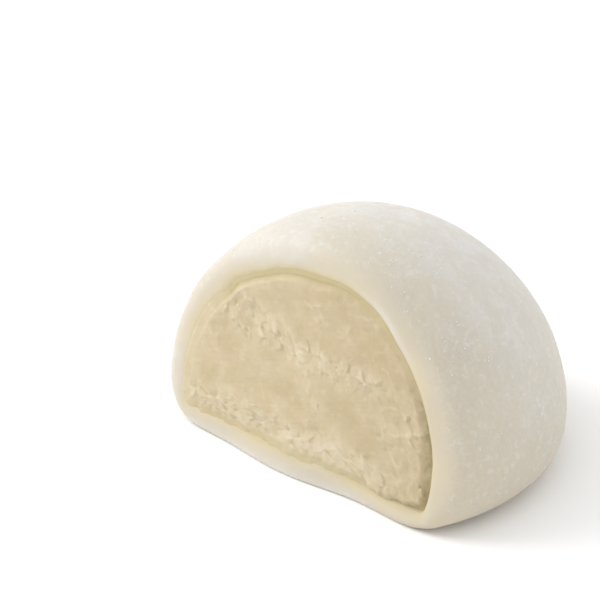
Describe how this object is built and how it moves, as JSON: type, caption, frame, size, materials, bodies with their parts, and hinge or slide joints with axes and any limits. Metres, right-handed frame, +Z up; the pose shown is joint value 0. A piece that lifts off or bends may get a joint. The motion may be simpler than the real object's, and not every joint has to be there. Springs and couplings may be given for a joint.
{
  "type": "mochi rice cake",
  "caption": "Dome of soft white rice dough cut open to show its pale cream filling; the dough rounds over in a thick lip at the cut.",
  "frame": {"origin": "on the table under the middle of the cake's box", "axes": "+Z up; the cut faces -Y and the cake is widest along X"},
  "size_m": [0.048, 0.0346, 0.0294],
  "materials": {
    "dough": "smooth milky rice dough, dusted with starch, slightly see-through at its edges",
    "filling": "pale yellow ice cream, matt and crumbly where it was cut"
  },
  "bodies": {
    "root": {"dough": "dough", "filling": "filling"}
  },
  "joints": []
}
